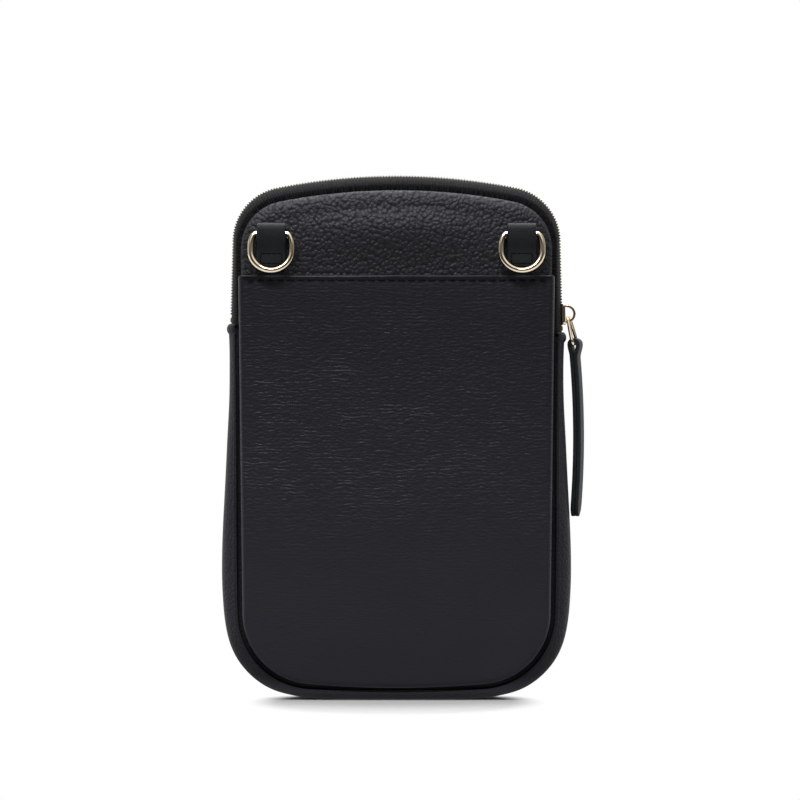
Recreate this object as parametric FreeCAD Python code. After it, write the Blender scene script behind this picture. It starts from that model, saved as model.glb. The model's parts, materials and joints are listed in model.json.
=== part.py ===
import FreeCAD, Part
import math
import os

from FreeCAD import Placement, Rotation, Vector

# A leather phone pouch that stands on its base. +Z is up and X runs across the pouch. The back,
# with the slip pocket and the two D-rings, faces -Y. The origin is the middle of the flat base.
# All lengths are in millimetres.

# Whole body
BODY_HEIGHT = 180.0          # base to the crown of the closed zip
DEPTH_BASE = 31.0            # back seam to front seam at the base
DEPTH_TOP = 17.0             # back seam to front seam at the height of the zip's crown
LOW_LEVEL = 30.0             # height above the base where the lower widths are measured
HIGH_LEVEL_DROP = 25.0       # drop below the zip's crown where the upper widths are measured
BASE_FLATTENING = 0.3        # how far the rounded base is pressed flat
CUT_OVERRUN = 5.0            # how far every cutting block runs past what it cuts

# Seam line, where the back and front panels meet the gusset and the zip
SEAM_RISE = 3.3              # lowest point of the seam above the base
SEAM_TOP_DROP = 3.4          # highest point of the seam below the zip's crown
SEAM_WIDTH_LOW = 107.2
SEAM_WIDTH_HIGH = 110.4
SEAM_CORNER_LOW = 25.3
SEAM_CORNER_HIGH = 18.0
SEAM_ARCH_LOW = 330.0
SEAM_ARCH_HIGH = 210.0

# Middle line, the widest line of the gusset and the crest of the zip
MIDDLE_WIDTH_LOW = 119.6
MIDDLE_WIDTH_HIGH = 113.2
MIDDLE_CORNER_LOW = 30.0
MIDDLE_CORNER_HIGH = 19.0
MIDDLE_ARCH_LOW = 1500.0
MIDDLE_ARCH_HIGH = 209.0
LOFT_STATION_SHARES = (-1.0, -0.82, -0.5, 0.0, 0.5, 0.82, 1.0)
BULGE_POWER = 4              # the bulge stays full over the middle and turns in steeply at the seams

# Leather, boards and lining
GUSSET_WALL = 1.4
GUSSET_FLANGE = 5.0          # seam allowance turned in behind the panels
PANEL_WALL = 1.4
PANEL_PROUD = 3.0            # how far a panel stands out of its seam plane
PANEL_EDGE_RADIUS = 2.4
POCKET_WALL = 1.4
POCKET_GAP = 0.3             # slack between the pocket and the back panel
POCKET_DROP = 34.4           # pocket's top edge below the zip's crown
BOARD_THICKNESS = 0.8
BOARD_MARGIN = 1.2           # board's edge inside the panel's wall
LINING_THICKNESS = 0.4
LINING_GAP = 0.2

# Zip
LEFT_END_DROP = 52.0         # left ends of the tapes below the zip's crown
RIGHT_END_DROP = 54.9        # right ends of the tapes below the zip's crown
TAPE_THICKNESS = 0.6
TAPE_FLANGE = 6.0            # part of each tape sewn in behind the panels
TOOTH_PITCH = 2.0
TOOTH_THICKNESS = 0.84
TOOTH_DEPTH = 1.8            # through the zip, crest to inside
TOOTH_TAIL = 2.1             # centre line of the zip to the tape's edge
TOOTH_REACH = 0.75           # head past the centre line of the zip
TOOTH_TIP_CHAMFER = 0.3
STOP_LENGTH = 1.7
STOP_GAP = 0.3               # stop to the end tab and to the nearest tooth or slider
STOP_SPLIT = 0.5             # centre line of the zip to each top stop
STOP_CHAMFER = 0.3
END_TAB_HEIGHT = 4.0
END_TAB_WALL = 0.8
END_TAB_LAP = 1.1            # end tab above the ends of the tapes
END_TAB_GAP = 0.1

# Zip slider, measured in its own directions: out of the zip, across it and along it
SLIDER_LENGTH = 7.5
SLIDER_WIDTH_WIDE = 8.0      # mouth, where the two tapes enter
SLIDER_WIDTH_NARROW = 6.4
SLIDER_PLATE = 0.8
SLIDER_CLEARANCE = 0.15      # to the teeth and to the tapes
SLIDER_RIM = 0.9
SLIDER_CORNER = 1.2
NECK_WIDTH = 1.8
NECK_POINT = 0.5
NECK_LENGTH = 2.4
NECK_INSET = 0.5
CROWN_LENGTH = 6.4
CROWN_HEIGHT = 3.6
CROWN_THICKNESS = 1.8
CROWN_WALL = 0.9

# Puller link and strap, turned a little towards the back
PULLER_YAW = 12.0            # degrees
LINK_WIRE = 1.2
LINK_LENGTH = 9.5            # upper bar to lower bar, centre to centre
LINK_LEAN = 14.0             # degrees, outwards from the vertical
LINK_CROWN_PLAY = 0.9        # link wider than the crown
LINK_STRAP_PLAY = 2.0        # link wider than the strap
LINK_BEND = 1.1              # centre line radius of the link's corners
LINK_CLEARANCE = 0.5         # link's upper bar to the floor and the end of the crown's eye
STRAP_WIDTH = 6.8
STRAP_LAYER = 1.4
STRAP_DROP = 59.2            # link's lower bar to the strap's end
STRAP_BOW = 1.2              # strap's middle outwards from the line between its ends
STRAP_SIDE_GAP = 1.2         # strap's end to the side of the gusset that it hangs beside
STRAP_EYE_GAP = 0.2          # slack round the link's lower bar
STRAP_JOIN_DROP = 6.5        # where the strap's two layers meet, below the link's lower bar
STRAP_END_RADIUS = 2.4

# D-rings and their tabs
RING_INSIDE_WIDTH = 12.0
RING_INSIDE_LENGTH = 10.7
RING_WIRE = 2.1
RING_BAR_LENGTH = 9.8        # straight part of the wire, in the tab
RING_BEND = 1.4              # centre line radius beside the straight bar
RING_LEAN = 12.0             # degrees, out of the back panel
RING_SPACING = 85.8
RING_DROP = 20.6             # straight bar below the zip's crown
RING_TAB_WIDTH = 10.0
RING_TAB_LAYER = 1.3
RING_TAB_DROP = 11.1         # straight bar to the tab's lower edge
RING_TAB_JOIN_DROP = 6.4     # where the tab's two layers meet, below the straight bar
RING_TAB_GAP = 0.25          # slack round the straight bar
RING_TAB_RISE = 1.3          # spare length of the fold above the hanging bar

PANEL_INSET = POCKET_WALL + POCKET_GAP
HALF_LEAN_RISE = (DEPTH_BASE - DEPTH_TOP) / 2
TAPE_INSET = (TOOTH_DEPTH - TAPE_THICKNESS) / 2
BACK = -1
FRONT = 1
LEFT = -1
RIGHT = 1


def point(x, z):
    return Vector(x, 0, z)


def arc(start, through, end):
    return Part.Arc(start, through, end).toShape()


def polygon(points):
    return Part.makePolygon(list(points) + [points[0]])


def prism(wire, along):
    return Part.Face(wire).extrude(along)


class Outline:
    """A closed outline in the XZ plane: arched base and top, straight sides, four round corners."""

    def __init__(self, base, top, width_low, width_high, corner_low, corner_high, arch_low, arch_high):
        self.base = base
        self.top = top
        self.width_low = width_low
        self.width_high = width_high
        self.corner_low = corner_low
        self.corner_high = corner_high
        self.arch_low = arch_low
        self.arch_high = arch_high

    def inset(self, distance):
        """The outline moved inwards by the same distance everywhere."""
        return Outline(
            self.base + distance,
            self.top - distance,
            self.width_low - 2 * distance,
            self.width_high - 2 * distance,
            self.corner_low - distance,
            self.corner_high - distance,
            self.arch_low - distance,
            self.arch_high - distance,
        )

    def blend(self, other, share):
        """The outline part of the way to another one."""
        mine, theirs = vars(self), vars(other)
        return Outline(**{k: mine[k] + (theirs[k] - mine[k]) * share for k in mine})

    def side(self):
        """A point of the right side, the side's upward direction and its outward normal."""
        low = point(self.width_low / 2, LOW_LEVEL)
        high = point(self.width_high / 2, BODY_HEIGHT - HIGH_LEVEL_DROP)
        up = (high - low).normalize()
        return low, up, point(up.z, -up.x)

    def corner(self, radius, arch_centre, arch_radius, turn):
        """Right-hand corner arc between the side and an arch: centre, side end and arch end."""
        low, up, out = self.side()
        on_line = low - out * radius
        away = on_line - arch_centre
        reach = arch_radius - radius
        half = away.dot(up)
        along = -half + turn * math.sqrt(half * half - away.dot(away) + reach * reach)
        centre = on_line + up * along
        return centre, centre + out * radius, arch_centre + (centre - arch_centre).normalize() * arch_radius

    def top_corner(self):
        return self.corner(self.corner_high, point(0, self.top - self.arch_high), self.arch_high, 1)

    def base_corner(self):
        return self.corner(self.corner_low, point(0, self.base + self.arch_low), self.arch_low, -1)

    def wire(self):
        """Eight edges from the left end of the base arch, always in the same order."""
        low_centre, low_side, low_arch = self.base_corner()
        high_centre, high_side, high_arch = self.top_corner()
        low_mid = bisector(low_centre, low_side, low_arch)
        high_mid = bisector(high_centre, high_side, high_arch)
        base, top = point(0, self.base), point(0, self.top)
        edges = [
            arc(flip(low_arch), base, low_arch),
            arc(low_arch, low_mid, low_side),
            Part.makeLine(low_side, high_side),
            arc(high_side, high_mid, high_arch),
            arc(high_arch, top, flip(high_arch)),
            arc(flip(high_arch), flip(high_mid), flip(high_side)),
            Part.makeLine(flip(high_side), flip(low_side)),
            arc(flip(low_side), flip(low_mid), flip(low_arch)),
        ]
        return Part.Wire(edges)


def flip(p):
    """The same point on the left half."""
    return Vector(-p.x, p.y, p.z)


def bisector(centre, start, end):
    """The middle of the short arc between two points about a centre."""
    radius = (start - centre).Length
    return centre + (start + end - centre * 2).normalize() * radius


SEAM = Outline(
    SEAM_RISE, BODY_HEIGHT - SEAM_TOP_DROP, SEAM_WIDTH_LOW, SEAM_WIDTH_HIGH,
    SEAM_CORNER_LOW, SEAM_CORNER_HIGH, SEAM_ARCH_LOW, SEAM_ARCH_HIGH,
)
MIDDLE = Outline(
    -BASE_FLATTENING, BODY_HEIGHT, MIDDLE_WIDTH_LOW, MIDDLE_WIDTH_HIGH,
    MIDDLE_CORNER_LOW, MIDDLE_CORNER_HIGH, MIDDLE_ARCH_LOW, MIDDLE_ARCH_HIGH,
)


def leaned(shape, station):
    """Put a shape of the XZ plane into the leaning plane between back (-1) and front (1)."""
    angle = math.degrees(math.atan2(station * HALF_LEAN_RISE, BODY_HEIGHT))
    place = Placement(Vector(0, station * DEPTH_BASE / 2, 0), Rotation(Vector(1, 0, 0), angle))
    return shape.transformed(place.toMatrix())


def on_side(shape, side):
    """Put a shape that is built outwards (-Y) from the seam plane on the back or the front."""
    if side == FRONT:
        shape = shape.mirror(Vector(0, 0, 0), Vector(0, 1, 0))
    return leaned(shape, side)


def body_loft(inset):
    """The full rounded body from seam to seam, moved inwards by a distance."""
    wires = []
    for station in LOFT_STATION_SHARES:
        fullness = 1 - abs(station) ** BULGE_POWER
        wires.append(leaned(SEAM.blend(MIDDLE, fullness).inset(inset).wire(), station))
    return Part.makeLoft(wires, True)


def band(outer_inset, inner_inset):
    """The wall of the body between two insets, open at the back and the front."""
    return body_loft(outer_inset).cut(body_loft(inner_inset))


def zip_end(side):
    """Height where the tapes end and the gusset begins."""
    return BODY_HEIGHT - (LEFT_END_DROP if side == LEFT else RIGHT_END_DROP)


def slab_between(low, high, side=0):
    """A block between two heights, over the whole width or only the left or right half."""
    reach = max(MIDDLE_WIDTH_LOW, MIDDLE_WIDTH_HIGH, DEPTH_BASE) + CUT_OVERRUN
    left = 0 if side == RIGHT else -reach
    width = 2 * reach if side == 0 else reach
    return Part.makeBox(width, 2 * reach, high - low, Vector(left, -reach, low))


def below_zip():
    """The room of the gusset, which ends at the zip's end on each side."""
    return slab_between(0, zip_end(LEFT), LEFT).fuse(slab_between(0, zip_end(RIGHT), RIGHT))


def flange(outer_inset, inner_inset, thickness):
    """A flat ring behind the back seam plane."""
    ring = Part.Face([SEAM.inset(outer_inset).wire(), SEAM.inset(inner_inset).wire()])
    ring.validate()
    return ring.extrude(Vector(0, thickness, 0))


def gusset():
    """Leather band round both sides and the base, with its seam allowances turned in."""
    wall = band(0, GUSSET_WALL)
    ring = flange(0, GUSSET_FLANGE, GUSSET_WALL)
    whole = wall.fuse([on_side(ring, BACK), on_side(ring, FRONT)])
    return whole.common(below_zip()).removeSplitter()


def zip_tape(side):
    """One woven tape, from its row of teeth to the edge sewn in behind the panel."""
    wall = band(TAPE_INSET, TAPE_INSET + TAPE_THICKNESS)
    ring = flange(TAPE_INSET, TAPE_FLANGE, TAPE_THICKNESS)
    whole = wall.fuse(on_side(ring, side))
    reach = MIDDLE_WIDTH_LOW + CUT_OVERRUN
    near = TOOTH_TAIL if side == FRONT else -TOOTH_TAIL - reach
    half = Part.makeBox(2 * reach, reach, BODY_HEIGHT + CUT_OVERRUN, Vector(-reach, near, 0))
    return whole.common(half.cut(below_zip())).removeSplitter()


def zip_path():
    """Closed zip's centre line, from the left end over the top to the right end, as one wire."""
    low, up, _ = MIDDLE.side()
    lift = END_TAB_LAP + STOP_GAP - low.z
    start = flip(low + up * ((zip_end(LEFT) + lift) / up.z))
    end = low + up * ((zip_end(RIGHT) + lift) / up.z)
    centre, side, arch = MIDDLE.top_corner()
    mid = bisector(centre, side, arch)
    edges = [
        Part.makeLine(start, flip(side)),
        arc(flip(side), flip(mid), flip(arch)),
        arc(flip(arch), point(0, MIDDLE.top), arch),
        arc(arch, mid, side),
        Part.makeLine(side, end),
    ]
    return Part.Wire(edges)


def stations_along(wire, distances):
    """Point and forward direction at each distance along a wire of tangent edges."""
    found = []
    for distance in distances:
        left = distance
        for edge in wire.OrderedEdges:
            if left <= edge.Length:
                break
            left -= edge.Length
        forward = edge.Orientation == "Forward"
        at = edge.getParameterByLength(left if forward else edge.Length - left)
        way = edge.tangentAt(at)
        found.append((edge.valueAt(at), way if forward else -way))
    return found


def zip_frame(at, forward):
    """Local X out of the zip, local Y towards the front, local Z back along the zip."""
    along = -forward
    across = Vector(0, 1, 0)
    return Placement(at, Rotation(across.cross(along), across, along, "ZYX"))


def inward_prism(points, depth):
    """A prism of points given across and along the zip, from the crest inwards."""
    wire = polygon([Vector(0, across, along) for across, along in points])
    return prism(wire, Vector(-depth, 0, 0))


def tooth(side):
    """One tooth with a square tail at the tape and a chamfered head past the centre line."""
    half = TOOTH_THICKNESS / 2
    tail, head = side * TOOTH_TAIL, -side * TOOTH_REACH
    shoulder = head + side * TOOTH_TIP_CHAMFER
    tip = half - TOOTH_TIP_CHAMFER / 2
    points = [(tail, -half), (tail, half), (shoulder, half), (head, tip), (head, -tip), (shoulder, -half)]
    return inward_prism(points, TOOTH_DEPTH)


def teeth_span():
    """Where the teeth start and end along the zip's centre line."""
    start = STOP_LENGTH + STOP_GAP + TOOTH_PITCH / 2
    neck_top = STOP_LENGTH + STOP_GAP + NECK_INSET + NECK_LENGTH
    end = zip_path().Length - neck_top - TOOTH_PITCH / 2
    return start, end


def teeth(side):
    """One row of teeth at an even pitch, the front row half a pitch ahead of the back row."""
    start, end = teeth_span()
    first = start + (TOOTH_PITCH / 2 if side == FRONT else 0)
    count = int((end - first) / TOOTH_PITCH) + 1
    one = tooth(side)
    row = []
    for at, forward in stations_along(zip_path(), [first + n * TOOTH_PITCH for n in range(count)]):
        row.append(one.transformed(zip_frame(at, forward).toMatrix()))
    return Part.makeCompound(row)


def stop_block(near, far):
    """A small clamped block between two distances across the zip."""
    half = STOP_LENGTH / 2
    block = Part.makeBox(TOOTH_DEPTH, far - near, STOP_LENGTH, Vector(-TOOTH_DEPTH, near, -half))
    crest = [e for e in block.Edges if e.BoundBox.XMin > -TOOTH_DEPTH / 2]
    return block.makeChamfer(STOP_CHAMFER, crest)


def bottom_stop():
    """Stop over both tapes at the closed zip's left end."""
    at, forward = stations_along(zip_path(), [STOP_LENGTH / 2])[0]
    return stop_block(-TOOTH_TAIL, TOOTH_TAIL).transformed(zip_frame(at, forward).toMatrix())


def top_stops():
    """One stop on each tape at the zip's right end, below the slider."""
    path = zip_path()
    at, forward = stations_along(path, [path.Length - STOP_LENGTH / 2])[0]
    place = zip_frame(at, forward).toMatrix()
    back = stop_block(-TOOTH_TAIL, -STOP_SPLIT)
    front = stop_block(STOP_SPLIT, TOOTH_TAIL)
    return Part.makeCompound([back.transformed(place), front.transformed(place)])


def end_tab(side):
    """Leather strip from seam to seam over the joint of the tapes and the gusset."""
    top = zip_end(side) + END_TAB_LAP
    wall = band(-END_TAB_GAP - END_TAB_WALL, -END_TAB_GAP)
    return wall.common(slab_between(top - END_TAB_HEIGHT, top, side))


def dish(outline, proud, edge_radius, wall):
    """A panel with a rounded edge, hollow behind, built outwards from the seam plane."""
    outer = rounded_slab(outline, proud, edge_radius)
    inner = rounded_slab(outline.inset(wall), proud - wall, edge_radius - wall)
    return outer.cut(inner)


def rounded_slab(outline, proud, edge_radius):
    slab = prism(outline.wire(), Vector(0, -proud, 0))
    face = min(slab.Faces, key=lambda f: f.CenterOfMass.y)
    return slab.makeFillet(edge_radius, face.Edges)


def panel(side):
    return on_side(dish(SEAM.inset(PANEL_INSET), PANEL_PROUD, PANEL_EDGE_RADIUS, PANEL_WALL), side)


def pocket():
    """Slip pocket over the back panel, cut straight along its open top edge."""
    slack = POCKET_GAP + POCKET_WALL
    whole = dish(SEAM, PANEL_PROUD + slack, PANEL_EDGE_RADIUS + slack, POCKET_WALL)
    return on_side(whole.common(slab_between(-CUT_OVERRUN, BODY_HEIGHT - POCKET_DROP)), BACK)


def backing(side, inset, behind, thickness):
    """A flat sheet behind a panel's wall, a distance behind the wall's inner face."""
    face_y = -(PANEL_PROUD - PANEL_WALL - behind)
    sheet = prism(SEAM.inset(inset).wire(), Vector(0, thickness, 0))
    return on_side(sheet.translated(Vector(0, face_y, 0)), side)


def board(side):
    return backing(side, PANEL_INSET + PANEL_WALL + BOARD_MARGIN, 0, BOARD_THICKNESS)


def panel_lining(side):
    return backing(side, PANEL_INSET + PANEL_WALL + LINING_GAP, BOARD_THICKNESS, LINING_THICKNESS)


def gusset_lining():
    """Thin lining inside the gusset, between its two seam allowances."""
    start = GUSSET_WALL + LINING_GAP
    wall = band(start, start + LINING_THICKNESS)
    wall = wall.common(below_zip())
    depth = GUSSET_WALL + LINING_GAP
    cutter = flange(-CUT_OVERRUN, GUSSET_FLANGE + CUT_OVERRUN, depth)
    return wall.cut([on_side(cutter, BACK), on_side(cutter, FRONT)])


def slider_place():
    """Middle of the slider on the right-hand stretch of the zip, with local Z up the zip."""
    path = zip_path()
    back = STOP_LENGTH + STOP_GAP + SLIDER_LENGTH / 2
    at, forward = stations_along(path, [path.Length - back])[0]
    return zip_frame(at, forward)


def shield(inset, low_x, high_x):
    """Slider plate, wide at the mouth and narrow at the other end, between two levels."""
    half = SLIDER_LENGTH / 2
    wide, narrow = SLIDER_WIDTH_WIDE / 2 - inset, SLIDER_WIDTH_NARROW / 2 - inset
    corners = [(-wide, -half), (wide, -half), (narrow, half), (-narrow, half)]
    wire = polygon([Vector(low_x, across, along) for across, along in corners])
    return prism(wire, Vector(high_x - low_x, 0, 0))


def slider_rims(low_x, high_x):
    """Two rims along the slider's sides, which guide the tapes."""
    return shield(0, low_x, high_x).cut(shield(SLIDER_RIM, low_x - CUT_OVERRUN, high_x + CUT_OVERRUN))


def slider_plate(low_x, high_x):
    plate = shield(0, low_x, high_x)
    upright = [e for e in plate.Edges if e.BoundBox.XLength > SLIDER_PLATE / 2]
    return plate.makeFillet(SLIDER_CORNER, upright)


def slider():
    """Two plates with rims, the neck between them and the crown with its eye."""
    outer_low = SLIDER_CLEARANCE
    outer_high = outer_low + SLIDER_PLATE
    inner_high = -TOOTH_DEPTH - SLIDER_CLEARANCE
    inner_low = inner_high - SLIDER_PLATE
    tape_high = -TAPE_INSET + SLIDER_CLEARANCE
    tape_low = -TAPE_INSET - TAPE_THICKNESS - SLIDER_CLEARANCE
    pieces = [
        slider_plate(inner_low, inner_high),
        slider_rims(tape_high, outer_low),
        slider_rims(inner_high, tape_low),
        slider_neck(inner_high, outer_low),
        crown(outer_high),
    ]
    return slider_plate(outer_low, outer_high).fuse(pieces).removeSplitter()


def slider_neck(low_x, high_x):
    """Wedge in the mouth that parts the two rows of teeth."""
    start = -SLIDER_LENGTH / 2 + NECK_INSET
    wide, thin = NECK_WIDTH / 2, NECK_POINT / 2
    corners = [(-wide, start), (wide, start), (thin, start + NECK_LENGTH), (-thin, start + NECK_LENGTH)]
    wire = polygon([Vector(low_x, across, along) for across, along in corners])
    return prism(wire, Vector(high_x - low_x, 0, 0))


def bridge(length, height, floor):
    """A flat arch on the XZ plane: straight legs and a round top, thick across the zip."""
    half = length / 2
    spring = floor + height - half
    edges = [
        Part.makeLine(point(floor, -half), point(spring, -half)),
        arc(point(spring, -half), point(floor + height, 0), point(spring, half)),
        Part.makeLine(point(spring, half), point(floor, half)),
        Part.makeLine(point(floor, half), point(floor, -half)),
    ]
    return Part.Wire(edges)


def crown(floor):
    """Arch on the outer plate, with the eye that holds the link."""
    outer = prism(bridge(CROWN_LENGTH, CROWN_HEIGHT, floor), Vector(0, CROWN_THICKNESS, 0))
    eye = bridge(CROWN_LENGTH - 2 * CROWN_WALL, CROWN_HEIGHT - CROWN_WALL, floor)
    hole = prism(eye, Vector(0, CROWN_THICKNESS + 2 * CUT_OVERRUN, 0))
    hole.translate(Vector(0, -CUT_OVERRUN, 0))
    return outer.cut(hole).translated(Vector(0, -CROWN_THICKNESS / 2, 0))


def link_top():
    """Centre of the link's upper bar, at the lower end of the crown's eye."""
    out = SLIDER_CLEARANCE + SLIDER_PLATE + LINK_CLEARANCE + LINK_WIRE / 2
    along = -(CROWN_LENGTH / 2 - CROWN_WALL) + LINK_CLEARANCE + LINK_WIRE / 2
    return slider_place().multVec(Vector(out, 0, along))


def link_place():
    """Local X out of the link's face, local Y along its bars, local Z up the link."""
    turn = Rotation(Vector(0, 0, 1), -PULLER_YAW) * Rotation(Vector(0, 1, 0), -LINK_LEAN)
    return Placement(link_top(), turn)


def rounded_ring(corners, radii):
    """A closed path through corners with tangent arcs, from tangent point to tangent point."""
    edges, ends = [], []
    count = len(corners)
    for n in range(count):
        here, before, after = corners[n], corners[n - 1], corners[(n + 1) % count]
        to_before, to_after = (before - here).normalize(), (after - here).normalize()
        half_turn = to_before.getAngle(to_after) / 2
        run = radii[n] / math.tan(half_turn)
        middle = (to_before + to_after).normalize()
        peak = here + middle * (radii[n] / math.sin(half_turn) - radii[n])
        ends.append((here + to_before * run, peak, here + to_after * run))
    for n in range(count):
        start, peak, end = ends[n]
        edges.append(arc(start, peak, end))
        edges.append(Part.makeLine(end, ends[(n + 1) % count][0]))
    return Part.Wire(edges)


def wire_ring(path, diameter, start, along):
    """A round wire bent along a closed path."""
    section = Part.Wire(Part.makeCircle(diameter / 2, start, along))
    return path.makePipeShell([section], True, False)


def link():
    """Bent wire loop, narrow in the crown and wide enough for the strap."""
    top = (CROWN_THICKNESS + LINK_CROWN_PLAY + LINK_WIRE) / 2
    low = (STRAP_WIDTH + LINK_STRAP_PLAY + LINK_WIRE) / 2
    corners = [
        Vector(0, top, 0), Vector(0, low, -LINK_LENGTH), Vector(0, -low, -LINK_LENGTH), Vector(0, -top, 0),
    ]
    path = rounded_ring(corners, [LINK_BEND] * len(corners))
    start = Vector(0, 0, -LINK_LENGTH)
    ring = wire_ring(path, LINK_WIRE, start, Vector(0, 1, 0))
    return ring.transformed(link_place().toMatrix())


def strap_place():
    """Local origin on the link's lower bar, local Z straight up."""
    low = link_place().multVec(Vector(0, 0, -LINK_LENGTH))
    return Placement(low, Rotation(Vector(0, 0, 1), -PULLER_YAW))


def strap_lean():
    """How far the strap's end lies inwards from below the link's lower bar, beside the gusset."""
    bar = strap_place().Base
    low, up, _ = MIDDLE.side()
    beside = low + up * ((bar.z - STRAP_DROP - low.z) / up.z)
    return (bar.x - beside.x - STRAP_SIDE_GAP) / math.cos(math.radians(PULLER_YAW)) - STRAP_LAYER


def strap_outline(crest):
    """Edge-on outline of the folded strap: round over the bar, drawn in to two bowed layers."""
    half, join, end = STRAP_LAYER, -STRAP_JOIN_DROP, -STRAP_DROP
    middle = (join + end) / 2
    lean = strap_lean()
    belly = STRAP_BOW - lean / 2
    edges = [
        arc(point(crest, 0), point(0, crest), point(-crest, 0)),
        Part.makeLine(point(-crest, 0), point(-half, join)),
        arc(point(-half, join), point(belly - half, middle), point(-lean - half, end)),
        Part.makeLine(point(-lean - half, end), point(half - lean, end)),
        arc(point(half - lean, end), point(belly + half, middle), point(half, join)),
        Part.makeLine(point(half, join), point(crest, 0)),
    ]
    return Part.Wire(edges)


def strap_eye(radius):
    """Edge-on outline of the room between the layers, round the link's lower bar."""
    tip = point(0, STRAP_LAYER - STRAP_JOIN_DROP)
    edges = [
        arc(point(radius, 0), point(0, radius), point(-radius, 0)),
        Part.makeLine(point(-radius, 0), tip),
        Part.makeLine(tip, point(radius, 0)),
    ]
    return Part.Wire(edges)


def strap():
    """Leather strip folded round the link's lower bar, its two layers sewn together below."""
    eye = LINK_WIRE / 2 + STRAP_EYE_GAP
    across = Vector(0, STRAP_WIDTH, 0)
    folded = prism(strap_outline(eye + STRAP_LAYER), across).cut(prism(strap_eye(eye), across))
    folded.translate(-across / 2)
    end = min(folded.Faces, key=lambda f: f.CenterOfMass.z)
    corners = [e for e in end.Edges if e.BoundBox.YLength < STRAP_WIDTH / 2]
    return folded.makeFillet(STRAP_END_RADIUS, corners).transformed(strap_place().toMatrix())


def ring_bar():
    """Height of the straight bar up the back panel, and its distance out of the seam plane."""
    out = PANEL_PROUD + RING_TAB_LAYER + RING_TAB_GAP + RING_WIRE / 2
    return Vector(0, -out, BODY_HEIGHT - RING_DROP)


def ring_tab(side):
    """Leather strip folded over the ring's straight bar, with room above it, and sewn flat to the panel."""
    eye = RING_WIRE / 2 + RING_TAB_GAP
    crest = eye + RING_TAB_LAYER
    front_y = crest - 2 * RING_TAB_LAYER
    tip = Vector(0, eye, -(RING_TAB_JOIN_DROP - RING_TAB_LAYER))
    lower = [
        Vector(0, front_y, -RING_TAB_JOIN_DROP), Vector(0, front_y, -RING_TAB_DROP), Vector(0, crest, -RING_TAB_DROP),
    ]
    along = Vector(RING_TAB_WIDTH, 0, 0)
    folded = prism(fold(crest, lower), along).cut(prism(fold(eye, [tip]), along))
    place = ring_bar() + Vector(side * RING_SPACING / 2 - RING_TAB_WIDTH / 2, 0, 0)
    return on_side(folded.translated(place), BACK)


def fold(radius, lower):
    """Edge-on outline of a fold: round at its top, straight past the bar, then through the lower points."""
    top = Vector(0, 0, RING_TAB_RISE)
    front, back = Vector(0, -radius, 0), Vector(0, radius, 0)
    edges = [arc(top + back, top + Vector(0, 0, radius), top + front)]
    corners = [top + front, front, *lower, top + back]
    edges += [Part.makeLine(a, b) for a, b in zip(corners, corners[1:])]
    return Part.Wire(edges)


def shoulder(half, bar):
    """Ring's centre line from the right end of its straight bar to its widest point: bend, then wide arc."""
    drop = RING_BEND + math.sqrt((half - RING_BEND) ** 2 - bar ** 2)
    centre, bend_centre = point(0, -drop), point(bar, -RING_BEND)
    meet = centre + (bend_centre - centre).normalize() * half
    bar_end, widest = point(bar, 0), point(half, -drop)
    return [
        arc(bar_end, bisector(bend_centre, bar_end, meet), meet),
        arc(meet, bisector(centre, meet, widest), widest),
    ]


def d_ring(side):
    """Round wire bent to a D, its straight bar in the tab, leaning a little out of the panel."""
    half, bar = (RING_INSIDE_WIDTH + RING_WIRE) / 2, RING_BAR_LENGTH / 2
    low = RING_INSIDE_LENGTH + RING_WIRE
    right = shoulder(half, bar)
    right.append(Part.makeLine(right[-1].Vertexes[-1].Point, point(half, half - low)))
    left = [e.mirror(point(0, 0), Vector(1, 0, 0)) for e in right]
    bow = arc(point(half, half - low), point(0, -low), point(-half, half - low))
    top = Part.makeLine(point(-bar, 0), point(bar, 0))
    ring = wire_ring(Part.Wire([top, *right, bow, *reversed(left)]), RING_WIRE, point(0, -low), Vector(1, 0, 0))
    ring.rotate(Vector(0, 0, 0), Vector(-1, 0, 0), RING_LEAN)
    return on_side(ring.translated(ring_bar() + Vector(side * RING_SPACING / 2, 0, 0)), BACK)


def nodes():
    """Every sub-part by name."""
    return {
        "back_panel": panel(BACK),
        "back_pocket": pocket(),
        "front_panel": panel(FRONT),
        "gusset_band": gusset(),
        "back_zip_tape": zip_tape(BACK),
        "front_zip_tape": zip_tape(FRONT),
        "back_zip_teeth": teeth(BACK),
        "front_zip_teeth": teeth(FRONT),
        "zip_bottom_stop": bottom_stop(),
        "zip_top_stops": top_stops(),
        "left_zip_end_tab": end_tab(LEFT),
        "right_zip_end_tab": end_tab(RIGHT),
        "left_ring_tab": ring_tab(LEFT),
        "right_ring_tab": ring_tab(RIGHT),
        "back_board": board(BACK),
        "front_board": board(FRONT),
        "back_lining": panel_lining(BACK),
        "front_lining": panel_lining(FRONT),
        "gusset_lining": gusset_lining(),
        "zip_slider": slider().transformed(slider_place().toMatrix()),
        "puller_link": link(),
        "puller_strap": strap(),
        "left_d_ring": d_ring(LEFT),
        "right_d_ring": d_ring(RIGHT),
    }


def main():
    os.makedirs("parts", exist_ok=True)
    for name, shape in nodes().items():
        shape.exportStep(os.path.join("parts", name + ".step"))
        print(name, shape.isValid(), len(shape.Solids), round(shape.Volume, 1))


if __name__ == "__main__":
    main()
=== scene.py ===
import bisect
import json
import math

import bmesh
import bpy
from mathutils import Matrix, Vector, kdtree, noise


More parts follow.
